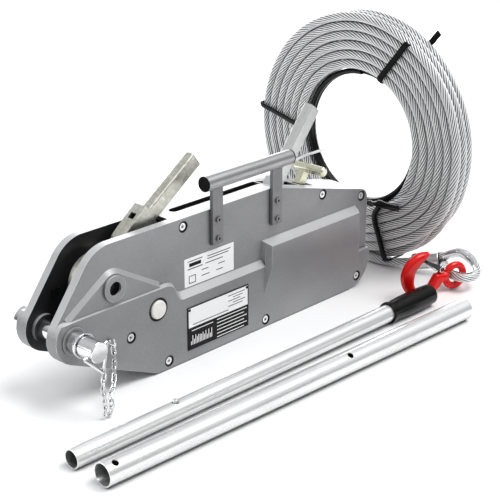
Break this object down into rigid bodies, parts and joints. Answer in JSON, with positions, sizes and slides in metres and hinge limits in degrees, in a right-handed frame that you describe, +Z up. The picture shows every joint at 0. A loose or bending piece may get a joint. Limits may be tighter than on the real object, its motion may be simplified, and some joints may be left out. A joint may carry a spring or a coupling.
{
  "type": "wire rope lever hoist",
  "caption": "Lever-operated wire rope puller with ribbed two-part casing, anchor pin, carrying handle, telescopic lever tubes and a tied rope coil with hook.",
  "frame": {"origin": "on the floor, on the flat foot of the casing at the joint between the covers, below the middle of the casing", "axes": "+X from the anchor pin towards the rope entry, -Y out of the labelled face, +Z up"},
  "size_m": [0.8676, 0.5335, 0.4303],
  "materials": {
    "cover_casting": "satin",
    "bolt_steel": "satin",
    "plug_plastic": "matte",
    "data_plate": "satin",
    "label_paper": "matte",
    "handle_tube": "satin",
    "black_plastic": "matte",
    "handle_strap": "satin",
    "zinc_steel": "bright",
    "dark_iron": "satin",
    "stub_steel": "satin",
    "yellow_zinc": "satin",
    "lever_steel": "satin",
    "jaw_steel": "satin",
    "spring_steel": "satin",
    "brass": "satin",
    "zinc_tube": "satin",
    "black_rubber": "matte",
    "wire_rope": "satin",
    "ferrule": "satin",
    "red_paint": "gloss",
    "latch_steel": "satin"
  },
  "bodies": {
    "casing": {"front_cover": "cover_casting", "back_cover": "cover_casting", "cover_bolt_1": "bolt_steel", "cover_bolt_2": "bolt_steel", "cover_bolt_3": "bolt_steel", "cover_bolt_4": "bolt_steel", "cover_bolt_5": "bolt_steel", "cover_bolt_6": "bolt_steel", "cover_bolt_7": "bolt_steel", "closing_plug": "plug_plastic", "data_plate": "data_plate", "type_label": "label_paper", "handle_tube": "handle_tube", "handle_cap_left": "black_plastic", "handle_cap_right": "black_plastic", "handle_bracket_left": "handle_strap", "handle_bracket_right": "handle_strap", "anchor_pin": "zinc_steel", "pin_collar": "zinc_steel", "pin_chain": "zinc_steel", "chain_eye": "zinc_steel", "stop_bolt": "bolt_steel", "reverse_shaft": "bolt_steel", "release_shaft": "bolt_steel", "rope_guide": "brass", "rope_coil": "wire_rope", "core_hose": "black_rubber", "tie_top": "black_plastic", "tie_left": "black_plastic", "tie_bottom": "black_plastic", "rope_tail": "wire_rope", "ferrule": "ferrule", "rope_eye": "wire_rope", "thimble": "zinc_steel", "hook": "red_paint"},
    "forward_lever": {"forward_lever": "stub_steel", "forward_stub": "stub_steel", "main_shaft": "dark_iron", "crank_pin_upper": "yellow_zinc", "crank_pin_lower": "yellow_zinc", "shear_pin": "yellow_zinc"},
    "reverse_lever": {"reverse_lever": "lever_steel", "reverse_stub": "lever_steel"},
    "release_handle": {"release_handle": "yellow_zinc"},
    "front_jaw": {"front_jaw_box": "dark_iron", "front_lower_jaw": "jaw_steel", "front_jaw_spring": "spring_steel", "front_link": "dark_iron"},
    "front_upper_jaw": {"front_upper_jaw": "jaw_steel"},
    "rear_jaw": {"rear_jaw_box": "dark_iron", "rear_lower_jaw": "jaw_steel", "rear_jaw_spring": "spring_steel", "rear_link": "dark_iron"},
    "rear_upper_jaw": {"rear_upper_jaw": "jaw_steel"},
    "spring_clip": {"spring_clip": "zinc_steel"},
    "hook_latch": {"hook_latch": "latch_steel"},
    "outer_tube": {"outer_tube": "zinc_tube"},
    "inner_tube": {"inner_tube": "zinc_tube", "grip": "black_rubber"},
    "spring_button": {"spring_button": "bolt_steel"}
  },
  "joints": [
    {"name": "forward_lever_pivot", "type": "hinge", "parent": "casing", "child": "forward_lever", "pos_m": [-0.224, 0, 0.157], "axis": [0, -1, 0], "range_deg": [0, 70]},
    {"name": "front_jaw_travel", "type": "slide", "parent": "casing", "child": "front_jaw", "axis": [-1, 0, 0], "range_m": [0, 0.0367]},
    {"name": "rear_jaw_travel", "type": "slide", "parent": "casing", "child": "rear_jaw", "axis": [1, 0, 0], "range_m": [0, 0.0367]},
    {"name": "front_upper_jaw_lift", "type": "slide", "parent": "front_jaw", "child": "front_upper_jaw", "axis": [0, 0, 1], "range_m": [0, 0.0046]},
    {"name": "rear_upper_jaw_lift", "type": "slide", "parent": "rear_jaw", "child": "rear_upper_jaw", "axis": [0, 0, 1], "range_m": [0, 0.0046]},
    {"name": "reverse_lever_pivot", "type": "hinge", "parent": "casing", "child": "reverse_lever", "pos_m": [0.112, 0, 0.172], "axis": [0, -1, 0], "range_deg": [-6, 14]},
    {"name": "release_handle_pivot", "type": "hinge", "parent": "casing", "child": "release_handle", "pos_m": [0.201, 0, 0.181], "axis": [0, 1, 0], "range_deg": [0, 20]},
    {"name": "spring_clip_swing", "type": "hinge", "parent": "casing", "child": "spring_clip", "pos_m": [-0.3, -0.088, 0.1045], "axis": [0.9511, 0, 0.309], "range_deg": [-30, 30]},
    {"name": "hook_latch_pivot", "type": "hinge", "parent": "casing", "child": "hook_latch", "pos_m": [0.37392, -0.15801, 0.0424], "axis": [-0.2588, -0.9659, 0], "range_deg": [0, 30]},
    {"name": "outer_tube_lift", "type": "slide", "parent": "casing", "child": "outer_tube", "axis": [0, 0, 1], "range_m": [0, 0.3]},
    {"name": "inner_tube_lift", "type": "slide", "parent": "casing", "child": "inner_tube", "axis": [0, 0, 1], "range_m": [0, 0.3]},
    {"name": "spring_button_press", "type": "slide", "parent": "inner_tube", "child": "spring_button", "axis": [0, 0, -1], "range_m": [0, 0.004], "stiffness_N_per_m": 400, "springref_m": -0.001}
  ],
  "couplings": [
    {"joint": "front_jaw_travel", "follows": "forward_lever_pivot", "m_per_rad": 0.030039},
    {"joint": "rear_jaw_travel", "follows": "forward_lever_pivot", "m_per_rad": 0.030039},
    {"joint": "front_upper_jaw_lift", "follows": "release_handle_pivot", "m_per_rad": 0.013178},
    {"joint": "rear_upper_jaw_lift", "follows": "release_handle_pivot", "m_per_rad": 0.013178}
  ]
}
